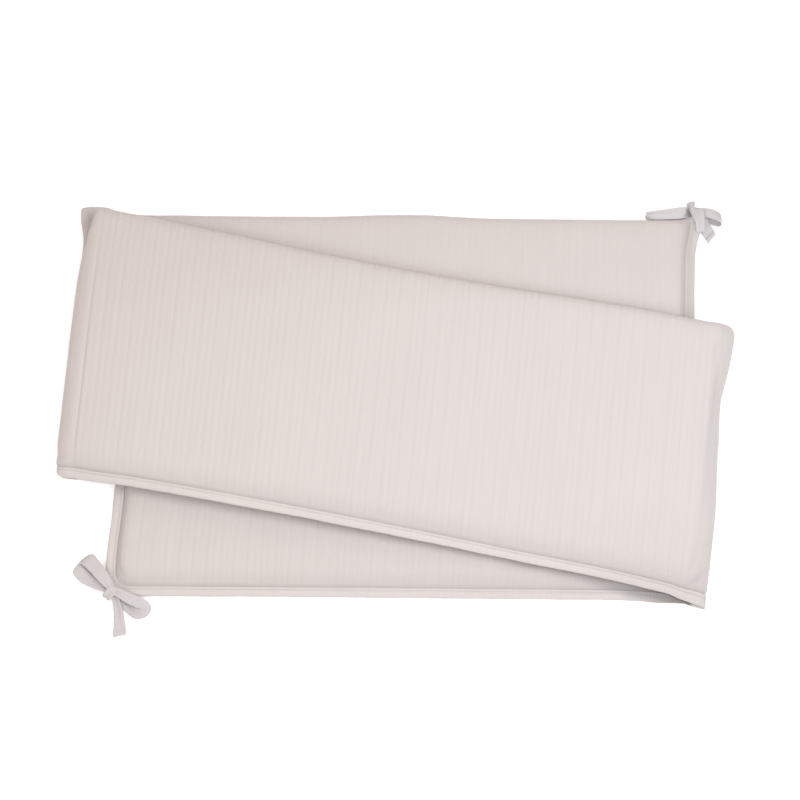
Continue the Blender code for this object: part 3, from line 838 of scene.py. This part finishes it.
def ribbed_cotton(settings):
    material, tree, shader = new_material("ribbed_cotton", settings.cloth_colour, {
        "Roughness": 0.92, "Sheen Weight": 0.25, "Sheen Roughness": 0.6, "Specular IOR Level": 0.2})
    place, u, v = cloth_place(tree)
    fuzz = noise_at(tree, place, (900.0, 900.0, 1.0), detail=3.0)
    height = scaled(tree, fuzz, FUZZ_RELIEF, knitted_height(tree, u, v))
    bump_up(tree, shader, height, strength=0.5, distance=0.00012)
    streaks = mottling(tree, place, (420.0, 9.0, 1.0), detail=2.0, spread=0.07)
    clouds = mottling(tree, place, (14.0, 14.0, 1.0), detail=2.0, spread=0.03)
    # Painted shade: the cloth is darker at the bottom of each rib's groove.
    low = math_node(tree, 'MINIMUM', own_attribute(tree, "relief"), 0.0)
    groove = scaled(tree, low, GROOVE_SHADE, 1.0)
    # Painted shade in the creases and hollows, and the painted shadow under the top panel's hem.
    crease = math_node(tree, 'SUBTRACT', 1.0, own_attribute(tree, "crease_shade"))
    shade_colour(tree, shader, product(tree, streaks, clouds, groove, crease, painted_seam_shade(tree, u)))
    return material


def woven_tape(settings):
    material, tree, shader = new_material("woven_tape", settings.tape_colour, {
        "Roughness": 0.88, "Sheen Weight": 0.15, "Specular IOR Level": 0.25})
    place, u, v = cloth_place(tree)
    twill = waves(tree, math_node(tree, 'ADD', u, v), TWILL_PITCH)
    height = scaled(tree, waves(tree, v, WARP_PITCH), WARP_RELIEF, twill)
    bump_up(tree, shader, height, strength=0.5, distance=0.0001)
    clouds = mottling(tree, place, (160.0, 160.0, 1.0), detail=3.0, spread=0.08)
    # Darker at the hem's sewn line, and painted shade where the loops and the knot keep the light off the
    # tape.
    line = scaled(tree, own_attribute(tree, "relief"), TAPE_LINE_SHADE, 1.0)
    shade_colour(tree, shader, product(tree, clouds, line))
    return material


def sewing_thread(settings):
    material, tree, shader = new_material("sewing_thread", settings.thread_colour, {"Roughness": 0.6})
    place = add_node(tree, "TexCoord").outputs["Object"]
    plies = noise_at(tree, place, (3000.0, 3000.0, 3000.0), detail=2.0)
    bump_up(tree, shader, plies, strength=0.3, distance=0.0001)
    return material


# ---- the padded band ----
def add_band(settings):
    stations = band_stations(settings.rib_spacing)
    along = lengths_along(stations)
    mesh = sheet_mesh("padded_band", stations, along, ROWS, PAD_THICK)
    band = add_piece("padded_band", mesh, ribbed_cotton(settings))
    give_thickness(band, PAD_THICK)
    apply_modifiers(band)
    fill_with_air(band.data, along, settings)
    press_in_detail(band.data, along, settings)
    band.data.shade_smooth()
    return band


# ---- the topstitching ----
def stitch_line(stations):
    """The sheet's points and normals along the topstitching, from end B round the hem to end A."""
    grid = [[cell[0] for cell in column] for column, _relief in stations]
    first, last_row = ROWS.index(STITCHED_AT), len(ROWS) - 1
    last = len(grid) - 1 - first
    cells = [(first, row) for row in range(last_row, first, -1)]
    cells += [(column, first) for column in range(first, last + 1)]
    cells += [(last, row) for row in range(first + 1, last_row + 1)]
    line = []
    for column, row in cells:
        along = grid[column + 1][row] - grid[column - 1][row]
        across = grid[column][min(row + 1, last_row)] - grid[column][row - 1]
        line.append((grid[column][row] - PLAN_MIDDLE, across.cross(along).normalized()))
    return line


def spaced(line, spacing):
    """Places a spacing apart along a line of (point, normal), with the line's direction there."""
    found, travelled, wanted = [], 0.0, 0.5 * spacing
    for (start, start_normal), (end, end_normal) in zip(line, line[1:]):
        length = (end - start).length
        while length > 0.0 and travelled + length >= wanted:
            share = (wanted - travelled) / length
            normal = start_normal.lerp(end_normal, share).normalized()
            found.append((start.lerp(end, share), normal, (end - start).normalized()))
            wanted += spacing
        travelled += length
    return found


def add_topstitching(band_settings, settings):
    """Small stitches on both faces, in the groove beside the flange."""
    line = stitch_line(band_stations(band_settings.rib_spacing))
    thick = settings.thread_thick
    sizes = Matrix.Diagonal((0.39 * settings.stitch_length, 0.5 * thick, 0.4 * thick, 1.0))
    stitch = bmesh.new()
    bmesh.ops.create_uvsphere(stitch, u_segments=6, v_segments=5, radius=1.0, matrix=sizes)
    one_stitch = as_mesh("stitch", stitch)
    stitches = bmesh.new()
    for place, normal, way in spaced(line, settings.stitch_length):
        turn = Matrix((way, normal.cross(way).normalized(), normal)).transposed().to_4x4()
        for face in (1.0, -1.0):
            centre = place + normal * face * (0.5 * SEAM_THICK + 0.6 * thick)
            placed = one_stitch.copy()
            placed.transform(Matrix.Translation(centre) @ turn)
            stitches.from_mesh(placed)
            bpy.data.meshes.remove(placed)
    return add_piece("topstitching", as_mesh("topstitching", stitches), sewing_thread(settings))


# ---- the ties ----
def between(before, start, end, after, share):
    """A smooth curve's value between start and end, with the values before and after them."""
    slope_in, slope_out = 0.5 * (end - before), 0.5 * (after - start)
    bend = 3.0 * (end - start) - 2.0 * slope_in - slope_out
    curl = slope_in + slope_out - 2.0 * (end - start)
    return start + share * (slope_in + share * (bend + share * curl))


def finer(table):
    """The stations of a strip with three more between each two, along smooth curves."""
    padded = (table[0], *table, table[-1])
    found = []
    for before, start, end, after in zip(padded, padded[1:], padded[2:], padded[3:]):
        for share in (0.0, 0.25, 0.5, 0.75):
            found.append([between(*values, share) for values in zip(before, start, end, after)])
    return found + [list(table[-1])]


def strip_stations(knot, table, hemmed):
    """Stations of a strip of tape: points across it, with gathers where the tape is drawn narrow."""
    placed = []
    for x, y, z, turn, lean, width in finer(table):
        middle = Vector((knot[0] + x * MM, knot[1] + y * MM, z * MM))
        turn, lean = math.radians(turn), math.radians(lean)
        side = Vector((math.cos(turn) * math.cos(lean), math.sin(turn) * math.cos(lean), math.sin(lean)))
        placed.append((middle, side, width * MM))
    ends_at = placed[-1][0]
    stations = []
    for index, (middle, side, width) in enumerate(placed):
        way = placed[min(index + 1, len(placed) - 1)][0] - placed[max(index - 1, 0)][0]
        up = side.cross(way).normalized()
        gather = GATHER_HEIGHT * max(0.0, 1.0 - width / TAPE_WIDTH)
        gather *= 1.0 + 0.5 * noise.noise(middle * 90.0)
        from_tip = (middle - ends_at).length
        thick = TAPE_THICK * (HEMMED_TAPE if hemmed and from_tip < TAPE_HEM else 1.0)
        shade = -bump(from_tip - TAPE_HEM, TAPE_HEM_LINE) if hemmed else 0.0
        cells = [(middle + side * width * (share - 0.5)
                  + up * gather * math.cos(math.tau * GATHERS * (share - 0.5)), thick)
                 for share in TAPE_PLACES]
        stations.append((cells, shade))
    return stations


def add_strip(name, knot, table, material):
    """One strip of tape as a piece, and its length."""
    stations = strip_stations(knot, table, name.endswith("tail"))
    along = lengths_along(stations)
    across = [share * TAPE_WIDTH for share in TAPE_PLACES]
    strip = add_piece(name, sheet_mesh(name, stations, along, across, 2.0 * TAPE_THICK), material)
    give_thickness(strip, 2.0 * TAPE_THICK)
    strip.modifiers.new("Soft curve", 'SUBSURF').levels = 1
    apply_modifiers(strip)
    return strip, along[-1]


def shade_inside(mesh, knot, shades):
    """Darkens the tape where its loops and its knot keep the light off it."""
    for vert, relief in zip(mesh.vertices, mesh.attributes["relief"].data):
        place = (vert.co + PLAN_MIDDLE - Vector((*knot[:2], 0.0))) / MM
        for x0, y0, x1, y1, half_width, top, dark in shades:
            if place.z < top:
                _along, aside = nearest(place.xy, Vector((x0, y0)), Vector((x1, y1)))
                relief.value -= dark * bump(aside, half_width)


def knot_mesh(name, knot):
    """A small lump with furrows where the tape crosses itself."""
    lump = bmesh.new()
    bmesh.ops.create_uvsphere(lump, u_segments=32, v_segments=20, radius=0.5)
    for vert in lump.verts:
        furrow = 0.06 * math.cos(9.0 * (vert.co.x * 0.8 + vert.co.y * 0.6))
        vert.co += vert.normal * furrow * (1.0 - abs(vert.co.z))
    placed = Matrix.Translation(Vector(knot) - PLAN_MIDDLE) @ Matrix.Diagonal((*KNOT_SIZE, 1.0))
    bmesh.ops.transform(lump, matrix=placed, verts=lump.verts)
    uv_layer = lump.loops.layers.uv.new("cloth")
    for face in lump.faces:
        for loop in face.loops:
            loop[uv_layer].uv = (loop.vert.co.x, loop.vert.co.y)
    return as_mesh(name, lump)


def add_bow(name, material):
    """A bow of one tape: its strips and its knot, joined as one piece."""
    node, knot, strips, shades = BOWS[name]
    made = [add_strip(name + "_" + strip, knot, table, material) for strip, table in strips.items()]
    bow = add_piece(name, knot_mesh(name, knot), material)
    joined = [bow] + [strip for strip, _length in made]
    with bpy.context.temp_override(active_object=bow, selected_editable_objects=joined):
        bpy.ops.object.join()
    shade_inside(bow.data, knot, shades)
    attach(bow, "root")
    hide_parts(node)
    return bow


# ---- the operators ----
class BUMPER_OT_band(bpy.types.Operator):
    """Build the padded band of ribbed cotton, folded in three"""
    bl_idname = "bumper.band"
    bl_label = "Padded band"

    def execute(self, context):
        band = add_band(context.scene.bumper_band)
        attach(band, "root")
        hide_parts("pad")
        return {'FINISHED'}


class BUMPER_OT_topstitching(bpy.types.Operator):
    """Sew the topstitching along the hem and both ends"""
    bl_idname = "bumper.topstitching"
    bl_label = "Topstitching"

    def execute(self, context):
        stitching = add_topstitching(context.scene.bumper_band, context.scene.bumper_stitches)
        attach(stitching, "root")
        return {'FINISHED'}


class BUMPER_OT_bows(bpy.types.Operator):
    """Tie the two bows of woven tape"""
    bl_idname = "bumper.bows"
    bl_label = "Tape bows"

    def execute(self, context):
        tape = woven_tape(context.scene.bumper_tape)
        for name in BOWS:
            add_bow(name, tape)
        return {'FINISHED'}


class BUMPER_OT_stage(bpy.types.Operator):
    """Lay a plain floor and set up soft light and the camera"""
    bl_idname = "bumper.stage"
    bl_label = "Floor, light and camera"

    def execute(self, context):
        settings = context.scene.bumper_stage
        add_floor(settings)
        add_light(settings)
        add_camera()
        return {'FINISHED'}


def add_floor(settings):
    sheet = bmesh.new()
    bmesh.ops.create_grid(sheet, x_segments=1, y_segments=1, size=FLOOR_HALF_SIZE)
    colour = settings.floor_colour
    material = new_material("plain_floor", colour, {
        "Roughness": 0.9, "Emission Color": (*colour, 1.0), "Emission Strength": settings.floor_glow})[0]
    floor = add_piece("floor", as_mesh("floor", sheet), material)


def add_light(settings):
    world = bpy.data.worlds.new("soft_studio")
    world.use_nodes = True
    tree = world.node_tree
    background = tree.nodes["Background"]
    background.inputs["Color"].default_value = SKY_COLOUR
    way = add_node(tree, "TexCoord").outputs["Generated"]
    up = math_node(tree, 'MAXIMUM', add_node(tree, "SeparateXYZ", ((0, way),)).outputs[2])
    strength = scaled(tree, up, SKY_RISE * settings.sky_light, SKY_HORIZON * settings.sky_light)
    tree.links.new(strength, background.inputs["Strength"])
    bpy.context.scene.world = world
    for name, (place, aim, share, colour) in LAMPS.items():
        light = bpy.data.lights.new(name, 'AREA')
        light.shape = 'DISK'
        light.size = LAMP_SIZE
        light.energy = share * settings.lamp_power
        light.color = colour
        lamp = add_object(name, light)
        lamp.location = place
        lamp.rotation_euler = (Vector(aim) - Vector(place)).to_track_quat('-Z', 'Y').to_euler()
    bpy.context.scene.view_settings.view_transform = 'Standard'


def add_camera():
    lens = bpy.data.cameras.new("photo_view")
    lens.lens = VIEW_LENS_MM
    camera = add_object("photo_view", lens)
    angle = math.radians(VIEW_ELEVATION)
    back = Vector((0.0, -math.cos(angle), math.sin(angle)))
    camera.location = Vector(VIEW_CENTRE) + back * VIEW_DISTANCE
    camera.rotation_euler = (math.radians(90.0) - angle, 0.0, 0.0)
    bpy.context.scene.camera = camera


class BUMPER_PT_panel(bpy.types.Panel):
    """Settings and steps of the folded crib bumper"""
    bl_idname = "BUMPER_PT_panel"
    bl_label = "Crib bumper"
    bl_space_type = 'VIEW_3D'
    bl_region_type = 'UI'
    bl_category = "Crib bumper"

    def draw(self, context):
        scene = context.scene
        for group, step in ((scene.bumper_band, BUMPER_OT_band),
                            (scene.bumper_stitches, BUMPER_OT_topstitching),
                            (scene.bumper_tape, BUMPER_OT_bows),
                            (scene.bumper_stage, BUMPER_OT_stage)):
            box = self.layout.box()
            for name in group.__annotations__:
                box.prop(group, name)
            box.operator(step.bl_idname)


SETTINGS = {"bumper_band": BandSettings, "bumper_stitches": StitchSettings,
            "bumper_tape": TapeSettings, "bumper_stage": StageSettings}
CLASSES = (*SETTINGS.values(), BUMPER_OT_stage, BUMPER_OT_band, BUMPER_OT_topstitching,
           BUMPER_OT_bows, BUMPER_PT_panel)


def register():
    for kind in CLASSES:
        bpy.utils.register_class(kind)
    for name, group in SETTINGS.items():
        setattr(bpy.types.Scene, name, bpy.props.PointerProperty(type=group))


def unregister():
    for name in SETTINGS:
        delattr(bpy.types.Scene, name)
    for kind in reversed(CLASSES):
        bpy.utils.unregister_class(kind)


def main():
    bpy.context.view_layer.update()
    register()
    bpy.ops.bumper.stage()
    bpy.ops.bumper.band()
    bpy.ops.bumper.topstitching()
    bpy.ops.bumper.bows()


if __name__ == "__main__":
    main()
